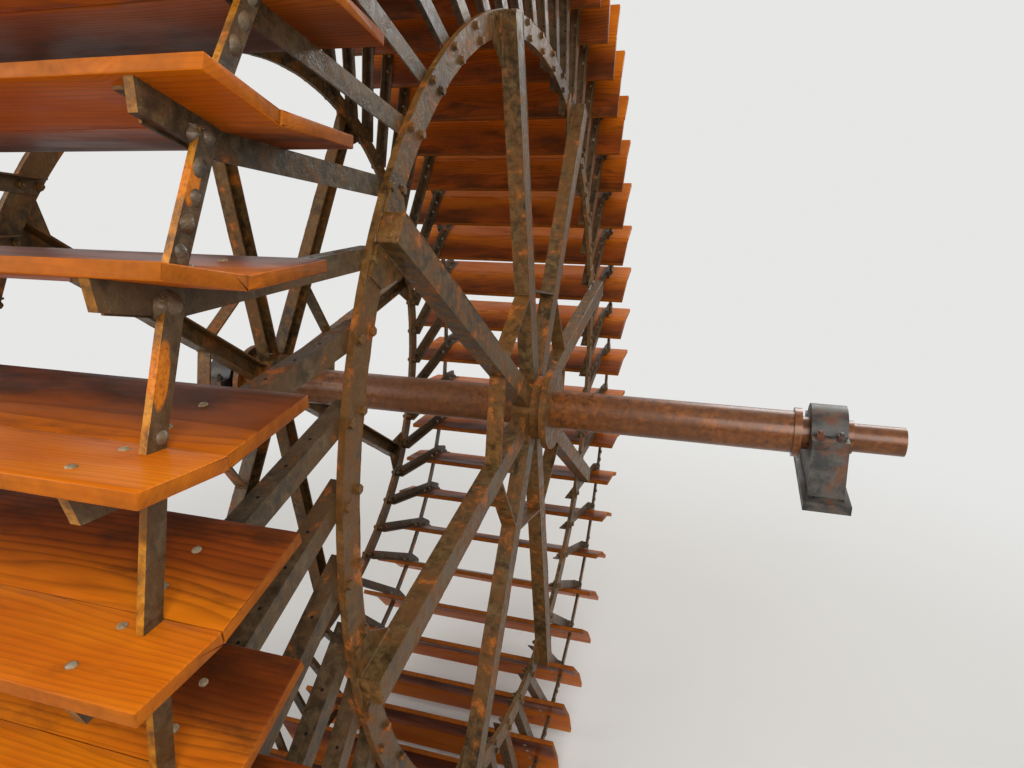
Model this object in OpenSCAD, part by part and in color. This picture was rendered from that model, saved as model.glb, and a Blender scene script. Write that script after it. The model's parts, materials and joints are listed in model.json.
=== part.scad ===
// Water wheel on a horizontal shaft: two steel rims with channel spokes, angle-iron arms
// and bent two-board paddles, turning in two pedestal bearings.
// Millimetres, +Z up, +X along the shaft towards the mill wall.
// The origin is the middle of the flat base of the wall-side bearing.
// Angles round the wheel are measured from the side of -Y, upwards.

/* [Paddles] */
// Number of paddles round the wheel
paddles = 48; // [24:8:64]
// Radius to the bend of the paddles' top face
elbow_r = 2308; // [2150:1:2600]
// Width of the board from the bend inwards
inner_board_w = 250; // [150:5:300]
// Width of the board from the bend outwards
outer_board_w = 197; // [120:1:260]
// Thickness of the boards
board_t = 28; // [20:1:45]
// Lean of the inner board from the radius at the bend, degrees
inner_lean = 23.1; // [15:0.1:30]
// Lean of the outer board from the radius at the bend, degrees
outer_lean = 10.3; // [0:0.1:14]
// Reach of the boards past the outer face of each rim
board_overhang = 137; // [60:1:200]
// Turn of the first paddle from the level, degrees
paddle_turn = 1.11; // [0:0.01:7]

/* [Rims] */
// Outer radius of the flat rims
rim_r = 1680; // [1600:10:1800]
// Radial width of the flat rims
rim_w = 90; // [70:1:120]
// Thickness of the flat rims
rim_t = 20; // [12:1:30]
// Distance between the outer faces of the two rims
rim_spacing = 1340; // [900:10:1800]

/* [Spokes] */
// Number of spokes on each side
spokes = 8; // [6:1:8]
// Width of the spoke channel, across its web
spoke_w = 90; // [70:1:110]
// Depth of the spoke channel, along the shaft
spoke_d = 68; // [50:1:90]
// Wall of the spoke channel
spoke_t = 8; // [5:0.5:12]
// Distance of a spoke's outer end inside the rim's edge
spoke_end_gap = 8; // [0:1:20]
// Turn of the first spoke from the level, degrees
spoke_turn = -10.7; // [-20:0.1:20]
// Length of a gusset along the spoke, from the rim's inner edge
gusset_l = 110; // [60:5:160]
// Reach of a gusset along the rim, from the spoke's side
gusset_w = 96; // [50:2:110]
// Thickness of the gussets
gusset_t = 8; // [5:1:12]

/* [Arms] */
// Width of the arm's leg that lies on the rim
arm_leg = 55; // [45:1:70]
// Width of the arm's leg that carries the boards
arm_shelf = 50; // [35:1:65]
// Thickness of the angle iron
arm_t = 6; // [4:0.5:10]
// Distance of the arm's inner corner from the rim's inner edge
arm_edge = 4; // [0:1:15]
// Reach of the arm under the outer board, along its underside
arm_reach = 188; // [80:1:192]
// How far the arm's outer end is cut back on its lower edge
arm_cut_back = 19; // [0:1:50]
// How far the angle iron stops short of the outer end of its flat
angle_stop = 30; // [0:1:45]
// Thickness of the flat that is welded on the arm's outer end
flat_t = 20; // [8:1:24]
// Width of that flat, down from the boards
flat_w = 51; // [40:1:60]
// Reach of that flat inwards of the bend
flat_lap = 15; // [0:1:40]
// Radial width of the flat bars between the elbows
bar_w = 45; // [30:1:70]
// Thickness of the flat bars between the elbows
bar_t = 16; // [10:1:25]
// Distance of the bars' inner edge outwards of the bend
bar_in = 5; // [0:1:12]
// How far a bar's upper end stops under the board above
bar_stop = 22; // [1:1:40]

/* [Hub] */
// Radius of the hub barrel
barrel_r = 150; // [125:5:180]
// Reach of the barrel past the rim's outer face
barrel_reach = 120; // [90:5:160]
// Reach of the barrel inwards from the rim's outer face
barrel_tail = 20; // [5:5:60]
// Radius of the flange on the barrel
flange_r = 190; // [170:5:230]
// Thickness of the flange on the barrel
flange_t = 30; // [15:1:40]
// Distance from the shaft's axis to the outer face of the hub straps
strap_r = 545; // [400:5:650]
// Thickness of the hub straps
strap_t = 10; // [6:1:16]

/* [Shaft] */
// Radius of the shaft
shaft_r = 90; // [80:1:110]
// Radius of the bearing journals
journal_r = 70; // [55:1:75]
// Radius of the free drive end
drive_r = 60; // [45:1:68]
// Length of the free drive end
drive_l = 200; // [120:5:300]
// Length of journal that shows beyond a bearing
journal_show = 12; // [8:1:30]
// Radius of the thrust collar
collar_r = 105; // [95:1:125]
// Thickness of the thrust collar
collar_t = 30; // [20:1:45]
// Distance from the wall-side rim's outer face to the middle of its bearing
wall_reach = 1330; // [900:10:1600]
// Clear space between the boards' ends and the outer bearing
outer_gap = 60; // [30:5:150]

/* [Bearings] */
// Height of the shaft's axis over the bearing base
axis_h = 220; // [190:5:280]
// Length of a bearing's foot, across the shaft
foot_l = 600; // [500:10:700]
// Height of a bearing's foot
foot_h = 36; // [24:1:50]
// Width of a bearing, along the shaft
bearing_w = 180; // [140:5:220]
// Width of the housing on the foot, along the shaft
housing_w = 140; // [110:5:180]
// Radius of the bearing cap
cap_r = 130; // [110:1:150]
// Reach of the cap's lugs from the axis
lug_reach = 195; // [180:1:220]
// Height of the cap's lugs
lug_h = 40; // [25:1:55]
// Distance between the foot bolts, across the shaft
bolt_y = 490; // [440:5:520]
// Distance between the foot bolts, along the shaft
bolt_x = 110; // [80:5:120]
// Radius of the foot bolt holes
bolt_r = 13; // [9:1:16]
// Distance between the cap bolts, across the shaft
cap_bolt_y = 330; // [310:2:340]
// Distance between the cap bolts, along the shaft
cap_bolt_x = 80; // [60:2:90]
// Radius of the cap bolt holes
cap_bolt_r = 11; // [8:1:13]

/* [Fits] */
// Running clearance round the journals
journal_fit = 0.05; // [0.02:0.01:0.1]
// Clearance round the shaft in the hub and collar
seat_fit = 0.02; // [0:0.01:0.1]
// Clearance between a spoke's inner end and the barrel
weld_gap = 0.3; // [0.1:0.1:1]
// Side clearance between moving shoulders and the bearings
side_gap = 6; // [5:1:12]
// Clearance between the boards and the arms and bars that they rest on
board_fit = 0.05; // [0.01:0.01:0.2]

/* [Hidden] */
$fn = 96;
SECTORS = 8;
per_sector = paddles / SECTORS;
pitch = 360 / paddles;
rim_x = -wall_reach;
mid_x = rim_x - rim_spacing / 2;
back_x = rim_x - rim_t;
board_len = rim_spacing + 2 * board_overhang;
outer_bearing_x = rim_x - rim_spacing - board_overhang - outer_gap - bearing_w / 2;
wall_shoulder_x = -bearing_w / 2 - side_gap;
outer_shoulder_x = outer_bearing_x + bearing_w / 2 + side_gap;

in_dir = [cos(inner_lean), -sin(inner_lean)];
in_up = [sin(inner_lean), cos(inner_lean)];
out_dir = [cos(outer_lean), -sin(outer_lean)];
out_up = [sin(outer_lean), cos(outer_lean)];
elbow = [elbow_r, 0];

// Point below the bend, at a depth under the paddle's top face, on the line that halves the bend
function under_elbow(depth) = elbow - depth * (in_up + out_up) / (1 + in_up * out_up);

// Band that follows the paddle inwards and outwards of the bend, between two depths
function band(top, bottom, inwards_top, inwards_bottom, outwards_top, outwards_bottom) = [
    under_elbow(top),
    elbow + outwards_top * out_dir - top * out_up,
    elbow + outwards_bottom * out_dir - bottom * out_up,
    under_elbow(bottom),
    elbow - inwards_bottom * in_dir - bottom * in_up,
    elbow - inwards_top * in_dir - top * in_up
];

// Depth of the arms' top face under the paddle's top face
arm_top = board_t + board_fit;
// Length of an arm inwards of the bend: its lower corner stops just outside the rim's inner edge
arm_low = elbow_r * sin(inner_lean) - board_t - arm_leg;
arm_stop = sqrt(pow(rim_r - rim_w + arm_edge, 2) - pow(arm_low, 2));
arm_inwards = elbow_r * cos(inner_lean) - arm_stop;

// A profile in the wheel's plane, as thick as t, with its right face at x
module slice(x, t) {
    translate([x, 0, axis_h]) rotate([90, 0, -90]) linear_extrude(t) children();
}

// A round bar on the shaft's axis from x0 to x1
module round_bar(x0, x1, r) {
    translate([x0, 0, axis_h]) rotate([0, 90, 0]) cylinder(r = r, h = x1 - x0);
}

// The same piece on the other side of the wheel
module on_left() {
    translate([2 * mid_x, 0, 0]) mirror([1, 0, 0]) children();
}

module around(count, turn) {
    for (i = [0:count - 1]) rotate(turn + 360 / count * i) children();
}

module bearing_base(x) {
    color("dimgray") difference() {
        union() {
            translate([x - bearing_w / 2, -foot_l / 2, 0]) cube([bearing_w, foot_l, foot_h]);
            slice(x + housing_w / 2, housing_w) polygon([
                [-lug_reach, 0],
                [-lug_reach - foot_h, foot_h - axis_h],
                [lug_reach + foot_h, foot_h - axis_h],
                [lug_reach, 0]
            ]);
        }
        round_bar(x - bearing_w, x + bearing_w, journal_r + journal_fit);
        for (sx = [-1, 1], sy = [-1, 1]) {
            translate([x + sx * bolt_x / 2, sy * bolt_y / 2, -1]) cylinder(r = bolt_r, h = foot_h + 2);
            translate([x + sx * cap_bolt_x / 2, sy * cap_bolt_y / 2, axis_h / 2])
                cylinder(r = cap_bolt_r, h = axis_h);
        }
    }
}

module bearing_cap(x) {
    color("dimgray") difference() {
        slice(x + housing_w / 2, housing_w) intersection() {
            union() {
                circle(r = cap_r);
                translate([-lug_reach, 0]) square([2 * lug_reach, lug_h]);
            }
            translate([-foot_l, 0]) square([2 * foot_l, foot_l]);
        }
        round_bar(x - bearing_w, x + bearing_w, journal_r + journal_fit);
        for (sx = [-1, 1], sy = [-1, 1])
            translate([x + sx * cap_bolt_x / 2, sy * cap_bolt_y / 2, axis_h / 2])
                cylinder(r = cap_bolt_r, h = axis_h);
    }
}

module shaft() {
    color("sienna") union() {
        round_bar(outer_bearing_x - bearing_w / 2 - journal_show, bearing_w / 2 + journal_show, journal_r);
        round_bar(outer_shoulder_x, wall_shoulder_x - side_gap, shaft_r);
        round_bar(bearing_w / 2, bearing_w / 2 + journal_show + drive_l, drive_r);
    }
}

module thrust_collar() {
    color("sienna") difference() {
        round_bar(wall_shoulder_x - collar_t - side_gap, wall_shoulder_x - side_gap, collar_r);
        round_bar(wall_shoulder_x - 3 * collar_t, 0, shaft_r + seat_fit);
    }
}

module hub_barrel() {
    color("saddlebrown") difference() {
        union() {
            round_bar(rim_x - barrel_tail, rim_x + barrel_reach, barrel_r);
            round_bar(rim_x + barrel_reach, rim_x + barrel_reach + flange_t, flange_r);
        }
        round_bar(rim_x - 2 * barrel_tail, rim_x + 2 * barrel_reach, shaft_r + seat_fit);
    }
}

module hub_straps() {
    color("chocolate") slice(rim_x + spoke_d, spoke_d) difference() {
        rotate(spoke_turn) circle(r = strap_r / cos(180 / spokes), $fn = spokes);
        rotate(spoke_turn) circle(r = (strap_r - strap_t) / cos(180 / spokes), $fn = spokes);
        around(spokes, spoke_turn) translate([0, -spoke_w / 2]) square([2 * strap_r, spoke_w]);
    }
}

module spoke_set() {
    inner = barrel_r + weld_gap;
    outer = rim_r - spoke_end_gap;
    color("rosybrown") {
        slice(rim_x + spoke_d, spoke_t) around(spokes, spoke_turn)
            translate([inner, -spoke_w / 2]) square([outer - inner, spoke_w]);
        slice(rim_x + spoke_d, spoke_d) around(spokes, spoke_turn)
            for (y = [-spoke_w / 2, spoke_w / 2 - spoke_t])
                translate([inner, y]) square([outer - inner, spoke_t]);
    }
}

module rim() {
    color("tan") slice(rim_x, rim_t) difference() {
        circle(r = rim_r, $fn = 180);
        circle(r = rim_r - rim_w, $fn = 180);
    }
}

module gusset_set() {
    inner = rim_r - rim_w;
    outer = rim_r - spoke_end_gap;
    color("darkkhaki") slice(rim_x + gusset_t, gusset_t) around(spokes, spoke_turn)
        for (side = [0, 1]) mirror([0, side]) polygon([
            [inner - gusset_l, spoke_w / 2],
            [inner, spoke_w / 2 + gusset_w],
            [sqrt(pow(outer, 2) - pow(spoke_w / 2 + gusset_w, 2)), spoke_w / 2 + gusset_w],
            [outer - gusset_t, spoke_w / 2]
        ]);
}

module arm_set() {
    color("gray") arm_angles();
    color("gray") slice(back_x + flat_t, flat_t) around(paddles, paddle_turn) polygon([
        elbow - flat_lap * out_dir - arm_top * out_up,
        elbow + arm_reach * out_dir - arm_top * out_up,
        elbow + (arm_reach - arm_cut_back) * out_dir - (board_t + flat_w) * out_up,
        elbow - flat_lap * out_dir - (board_t + flat_w) * out_up
    ]);
}

module arm_angles() {
    outwards = arm_reach - angle_stop;
    difference() {
        slice(back_x, arm_shelf) around(paddles, paddle_turn)
            polygon(band(arm_top, board_t + arm_leg, arm_inwards, arm_inwards,
                outwards, outwards - arm_cut_back));
        slice(back_x - arm_t, arm_shelf) around(paddles, paddle_turn)
            polygon(band(arm_top + arm_t, board_t + 2 * arm_leg, 2 * arm_inwards, 2 * arm_inwards,
                2 * arm_reach, 2 * arm_reach));
    }
}

function turned(p, a) = [p[0] * cos(a) - p[1] * sin(a), p[0] * sin(a) + p[1] * cos(a)];

module elbow_bar_set() {
    foot = elbow + board_fit * out_up;
    head = elbow - (board_t + bar_stop) * out_up;
    color("slategray") slice(back_x + flat_t + bar_t, bar_t) around(paddles, paddle_turn) polygon([
        foot + bar_in * out_dir,
        foot + (bar_in + bar_w) * out_dir,
        turned(head + (bar_in + bar_w) * out_dir, pitch),
        turned(head + bar_in * out_dir, pitch)
    ]);
}

module paddle_row(sector) {
    slice(rim_x + board_overhang, board_len)
        for (i = [0:per_sector - 1])
            rotate(paddle_turn + pitch * (i + per_sector * (sector - 1))) children();
}

module inner_boards(sector) {
    color("peru") paddle_row(sector) polygon([
        elbow,
        under_elbow(board_t),
        elbow - inner_board_w * in_dir - board_t * in_up,
        elbow - inner_board_w * in_dir
    ]);
}

module outer_boards(sector) {
    color("goldenrod") paddle_row(sector) polygon([
        elbow,
        elbow + outer_board_w * out_dir,
        elbow + outer_board_w * out_dir - board_t * out_up,
        under_elbow(board_t)
    ]);
}

bearing_base(0);  // wall_bearing_base
bearing_cap(0);  // wall_bearing_cap
bearing_base(outer_bearing_x);  // outer_bearing_base
bearing_cap(outer_bearing_x);  // outer_bearing_cap
shaft();
thrust_collar();
hub_barrel();  // hub_right
on_left() hub_barrel();  // hub_left
hub_straps();  // hub_straps_right
on_left() hub_straps();  // hub_straps_left
spoke_set();  // spokes_right
on_left() spoke_set();  // spokes_left
rim();  // rim_right
on_left() rim();  // rim_left
gusset_set();  // gussets_right
on_left() gusset_set();  // gussets_left
arm_set();  // arms_right
on_left() arm_set();  // arms_left
elbow_bar_set();  // elbow_bars_right
on_left() elbow_bar_set();  // elbow_bars_left
for (s = [1:SECTORS]) inner_boards(s);
for (s = [1:SECTORS]) outer_boards(s);
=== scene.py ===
"""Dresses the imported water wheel: varnished paddle boards, weathered iron, bolts, welds and nuts.

Lengths are in metres in the row frame: +Z up, +X along the shaft towards the mill wall, with the
origin in the middle of the wall-side bearing's flat base. Angles round the wheel are measured
from the side of -Y, upwards.
"""

from __future__ import annotations

import json
import logging
from dataclasses import dataclass, field
from enum import Enum
from typing import Any

import bpy
import numpy as np
from mathutils import Matrix, Vector

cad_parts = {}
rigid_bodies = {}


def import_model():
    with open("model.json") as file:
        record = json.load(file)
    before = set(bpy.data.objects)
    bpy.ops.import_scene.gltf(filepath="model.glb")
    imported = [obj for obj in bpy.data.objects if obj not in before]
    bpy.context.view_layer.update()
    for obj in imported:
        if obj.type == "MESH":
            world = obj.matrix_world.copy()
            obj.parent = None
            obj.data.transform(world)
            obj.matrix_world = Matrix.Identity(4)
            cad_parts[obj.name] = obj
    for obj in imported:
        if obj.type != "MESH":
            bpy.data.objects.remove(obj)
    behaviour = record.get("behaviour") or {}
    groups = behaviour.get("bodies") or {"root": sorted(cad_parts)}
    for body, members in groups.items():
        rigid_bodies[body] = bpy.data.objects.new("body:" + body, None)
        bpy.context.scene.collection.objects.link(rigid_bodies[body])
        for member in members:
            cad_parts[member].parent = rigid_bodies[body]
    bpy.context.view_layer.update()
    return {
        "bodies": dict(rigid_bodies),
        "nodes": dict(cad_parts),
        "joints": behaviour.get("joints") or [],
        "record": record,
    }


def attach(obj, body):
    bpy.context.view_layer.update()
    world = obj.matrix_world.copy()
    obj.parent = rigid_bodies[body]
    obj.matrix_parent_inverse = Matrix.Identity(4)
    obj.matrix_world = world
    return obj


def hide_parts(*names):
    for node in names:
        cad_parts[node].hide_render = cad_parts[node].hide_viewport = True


log = logging.getLogger("water_wheel")

Array = np.ndarray
Place = Array | float
Solids = tuple[Array, list[Array]]
Point = tuple[float, float, float]
Colour = tuple[float, float, float, float]

AXIS_H = 0.220
RIM_X = -1.330
HALF_SPACING = 0.670
MID_X = RIM_X - HALF_SPACING
OUTER_BEARING_X = -2.957
FLOOR_Z = -2.320

PADDLES = 48
FIRST_PADDLE = 1.11


class Side(Enum):
    """The two sides of the wheel, as the sign of X from its middle plane."""

    RIGHT = 1
    LEFT = -1

    @property
    def word(self) -> str:
        """The side's word in piece and node names."""
        return self.name.lower()

    def x(self, inwards: float) -> float:
        """X at a distance inwards of this side's outer rim face."""
        return MID_X + self.value * (HALF_SPACING - inwards)


class Tone(Enum):
    """The two boards of a paddle, as the word in piece and node names."""

    INNER = "inner"
    OUTER = "outer"


# Surfaces


def grid_faces(rows: int, columns: int) -> Array:
    """Quads of a grid whose columns close on themselves.

    Args:
        rows: Number of stations.
        columns: Number of points round each station.

    Returns:
        One row of four point numbers a quad, (i, j), (i, j+1), (i+1, j+1), (i+1, j).
    """
    i = np.arange(rows - 1)[:, None]
    j = np.arange(columns)[None, :]
    k = (j + 1) % columns
    quads = [i * columns + j, i * columns + k, (i + 1) * columns + k, (i + 1) * columns + j]
    return np.stack(quads, -1).reshape(-1, 4)


def sweep(path: Array, side: Array, up: Array, outline: Array) -> Solids:
    """Carries closed outlines along paths, and closes both ends of each.

    point[n, u, v] = path[n, u] + outline[n, u, v, 0] * side[n, u] + outline[n, u, v, 1] * up[n, u]

    Args:
        path: Stations of each solid, shape (solids, stations, 3).
        side: First direction of the outline, broadcast to the path's shape.
        up: Second direction of the outline, broadcast to the path's shape.
        outline: Outline points, broadcast to (solids, stations, points, 2).

    Returns:
        All the points, and blocks of faces that point outwards.
    """
    path, side, up = np.broadcast_arrays(path, side, up)
    points = path[..., None, :] + outline[..., :1] * side[..., None, :] + outline[..., 1:] * up[..., None, :]
    solids, stations, around = points.shape[:3]
    last = (stations - 1) * around
    caps = np.stack([np.arange(around)[::-1], last + np.arange(around)])
    shift = (np.arange(solids) * stations * around)[:, None, None]
    quads = (grid_faces(stations, around)[None] + shift).reshape(-1, 4)
    blocks = [quads, (caps[None] + shift).reshape(-1, around)]
    turn = np.einsum("ijk,ijk->", np.cross(side, up), np.gradient(path, axis=1))
    flat = np.broadcast_to(outline, points.shape[:3] + (2,))[0, 0]
    area = np.sum(flat[:, 0] * np.roll(flat[:, 1], -1) - flat[:, 1] * np.roll(flat[:, 0], -1))
    if turn * area < 0:
        blocks = [block[:, ::-1] for block in blocks]
    return points.reshape(-1, 3), blocks


def ring_outline(points: int, turn: float = 0.0) -> Array:
    """Regular outline of radius 1: (cos a, sin a) at equal steps of the angle a.

    Args:
        points: Number of corners.
        turn: Angle of the first corner, in degrees.

    Returns:
        The corners, anticlockwise.
    """
    a = np.radians(turn) + np.arange(points) * 2 * np.pi / points
    return np.stack([np.cos(a), np.sin(a)], -1)


def rounded_outline(corners: Array, radii: Array, steps: int, splits: Array) -> tuple[Array, Array]:
    """Outline of a convex polygon with an arc at each corner and extra points on its sides.

    The arc at a corner is tangent to both sides, so it starts r / tan(half the corner's angle)
    from the corner, and its centre is r inside both sides.

    Args:
        corners: Corners, anticlockwise, shape (n, 2).
        radii: Radius of each corner.
        steps: Number of chords in an arc.
        splits: Number of points between a corner's arc and the next one's.

    Returns:
        The outline's points, and the outward normal at each.
    """
    points: list[Array] = []
    normals: list[Array] = []
    count = len(corners)
    along = np.roll(corners, -1, 0) - corners
    along /= np.linalg.norm(along, axis=1)[:, None]
    outward = np.stack([along[:, 1], -along[:, 0]], -1)
    for i in range(count):
        before, after = outward[i - 1], outward[i]
        half = 0.5 * np.arccos(np.clip(before @ after, -1, 1))
        centre = corners[i] - radii[i] / np.cos(half) * (before + after) / np.linalg.norm(before + after)
        share = np.linspace(0, 1, steps + 1)[:, None]
        normal = np.sin((1 - share) * 2 * half) * before + np.sin(share * 2 * half) * after
        normal /= np.sin(2 * half)
        points.append(centre + radii[i] * normal)
        normals.append(normal)
        j = (i + 1) % count
        turn = 0.5 * np.arccos(np.clip(after @ outward[j], -1, 1))
        start = points[-1][-1]
        end = corners[j] - along[i] * radii[j] * np.tan(turn)
        inner = np.linspace(0, 1, splits[i] + 2)[1:-1, None]
        points.append(start + inner * (end - start))
        normals.append(np.repeat(after[None], splits[i], 0))
    return np.concatenate(points), np.concatenate(normals)


def on_wheel(p: Place, q: Place, x: Place, angle: Array) -> Array:
    """Row-frame points of points in the wheel's plane.

    A point lies p outwards on the line at the angle and q square to it, upwards on the side of -Y:
    (x, -(p cos a - q sin a), axis height + p sin a + q cos a).

    Args:
        p: Distances outwards.
        q: Distances square to that.
        x: Places along the shaft.
        angle: Angles round the wheel, in degrees.

    Returns:
        The points, in the shape that the arguments broadcast to, with a last axis of 3.
    """
    a = np.radians(angle)
    y = q * np.sin(a) - p * np.cos(a)
    z = AXIS_H + p * np.sin(a) + q * np.cos(a)
    return np.stack(np.broadcast_arrays(x, y, z), -1)


def in_plane(p: float, q: float, angle: Array) -> Array:
    """Directions in the wheel's plane, turned as on_wheel turns points."""
    return on_wheel(p, q, 0.0, angle) - on_wheel(0.0, 0.0, 0.0, angle)


class Shell:
    """Gathers solids into one mesh piece, with named values on its points."""

    def __init__(self) -> None:
        """Starts empty."""
        self.points: list[Array] = []
        self.blocks: list[Array] = []
        self.marks: dict[str, list[Array]] = {}
        self.total = 0

    def add(self, points: Array, blocks: list[Array], **marks: Array) -> None:
        """Adds solids.

        Args:
            points: Their points.
            blocks: Their faces, as point numbers from 0, a block for each number of corners.
            marks: Values on the points by name, each a number or a vector a point.
        """
        self.points.append(points)
        self.blocks += [block + self.total for block in blocks]
        self.total += len(points)
        for name, values in marks.items():
            self.marks.setdefault(name, []).append(values)

    def piece(self, name: str, material: bpy.types.Material, smooth: float = 30.0) -> bpy.types.Object:
        """Makes the object, at the origin, unturned and unscaled.

        Args:
            name: The piece's name.
            material: Its finish.
            smooth: Angle in degrees under which an edge is shaded smooth.

        Returns:
            The object, linked to the scene.
        """
        co = np.concatenate(self.points).astype(np.float32)
        sizes = np.concatenate([np.full(len(b), b.shape[1]) for b in self.blocks])
        corners = np.concatenate([b.ravel() for b in self.blocks])
        mesh = bpy.data.meshes.new(name)
        mesh.vertices.add(len(co))
        mesh.vertices.foreach_set("co", co.ravel())
        mesh.loops.add(len(corners))
        mesh.loops.foreach_set("vertex_index", corners.astype(np.int32))
        mesh.polygons.add(len(sizes))
        mesh.polygons.foreach_set("loop_start", np.concatenate([[0], np.cumsum(sizes)[:-1]]).astype(np.int32))
        mesh.update(calc_edges=True)
        mesh.validate()
        for key, parts in self.marks.items():
            values = np.concatenate(parts).astype(np.float32)
            kind, slot = ("FLOAT", "value") if values.ndim == 1 else ("FLOAT_VECTOR", "vector")
            mesh.attributes.new(key, kind, "POINT").data.foreach_set(slot, values.ravel())
        mesh.shade_smooth()
        mesh.set_sharp_from_angle(angle=np.radians(smooth))
        mesh.materials.append(material)
        made = bpy.data.objects.new(name, mesh)
        bpy.context.scene.collection.objects.link(made)
        return made


def across(axis: Array) -> tuple[Array, Array]:
    """Two directions square to each axis, so that first x second = axis.

    Args:
        axis: Unit directions, shape (n, 3).

    Returns:
        The two directions.
    """
    helper = np.where(np.abs(axis[:, :1]) < 0.9, [[1.0, 0.0, 0.0]], [[0.0, 1.0, 0.0]])
    first = np.cross(helper, axis)
    first /= np.linalg.norm(first, axis=1)[:, None]
    return first, np.cross(axis, first)


def turned_solids(base: Array, axis: Array, steps: list[tuple[float, float]], outline: Array) -> Solids:
    """Short solids that stand on points, such as heads, nuts and washers.

    station[u] = base + height[u] * axis, with the outline times radius[u] square to the axis.

    Args:
        base: Foot of each solid, shape (n, 3).
        axis: Unit direction of each solid, shape (n, 3).
        steps: Height and radius at each station.
        outline: Outline of radius 1.

    Returns:
        The points and blocks of faces.
    """
    heights, radii = np.array(steps).T
    path = base[:, None, :] + heights[None, :, None] * axis[:, None, :]
    first, second = across(axis)
    shape = (radii[:, None, None] * outline[None])[None]
    shape = np.broadcast_to(shape, (len(base),) + shape.shape[1:])
    return sweep(path, first[:, None, :], second[:, None, :], shape)


def crusts(path: Array, side: Array, radius: float, rng: np.random.Generator, rough: float = 0.07) -> Solids:
    """Lumpy tubes along paths, as weld beads and crusted edges are.

    A tube's radius is radius * (0.92 + 0.08 |sin(pi s)| + w), where s counts the ripples, one to
    3.2 stations, and w is a random walk less its own running mean. The tube narrows at both ends.

    Args:
        path: Stations of each tube, shape (tubes, stations, 3).
        side: A direction square to each path, broadcast to the path's shape.
        radius: Mean radius of a tube.
        rng: Source of the random walk.
        rough: Step of the walk, as a share of the radius.

    Returns:
        The points and blocks of faces.
    """
    number, stations = path.shape[:2]
    axis = np.gradient(path, axis=1)
    axis /= np.linalg.norm(axis, axis=2)[..., None]
    ripple = 0.92 + 0.08 * np.abs(np.sin(np.pi * np.arange(stations) / 3.2))
    walk = np.cumsum(rng.normal(0, rough, (number, stations)), 1)
    window = min(stations, 24)
    if stations > 30:
        slow = np.apply_along_axis(np.convolve, 1, walk, np.full(window, 1 / window), mode="same")
    else:
        slow = walk.mean(1)[:, None]
    radii = radius * np.clip(ripple[None] + walk - slow, 0.6, 1.5)
    radii[:, 0] *= 0.45
    radii[:, -1] *= 0.45
    return sweep(path, side, np.cross(axis, side), radii[:, :, None, None] * ring_outline(6)[None, None])


def beads(start: Array, end: Array, radius: float, rng: np.random.Generator, stations: int = 14) -> Solids:
    """Weld beads on the straight lines between pairs of points.

    Args:
        start: First points, shape (n, 3).
        end: Last points, shape (n, 3).
        radius: Mean radius of a bead.
        rng: Source of the beads' unevenness.
        stations: Number of stations along a bead.

    Returns:
        The points and blocks of faces.
    """
    share = np.linspace(0, 1, stations)
    path = start[:, None] + share[None, :, None] * (end - start)[:, None]
    axis = (end - start) / np.linalg.norm(end - start, axis=1)[:, None]
    return crusts(path, across(axis)[0][:, None], radius, rng)


# Finishes


def paint(red: int, green: int, blue: int) -> Colour:
    """Linear colour of an 8-bit screen colour.

    Args:
        red: Red, 0 to 255.
        green: Green, 0 to 255.
        blue: Blue, 0 to 255.

    Returns:
        The colour, with an alpha of 1.
    """
    c = np.array([red, green, blue]) / 255.0
    linear = np.where(c <= 0.04045, c / 12.92, ((c + 0.055) / 1.055) ** 2.4)
    return (*[float(v) for v in linear], 1.0)


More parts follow.
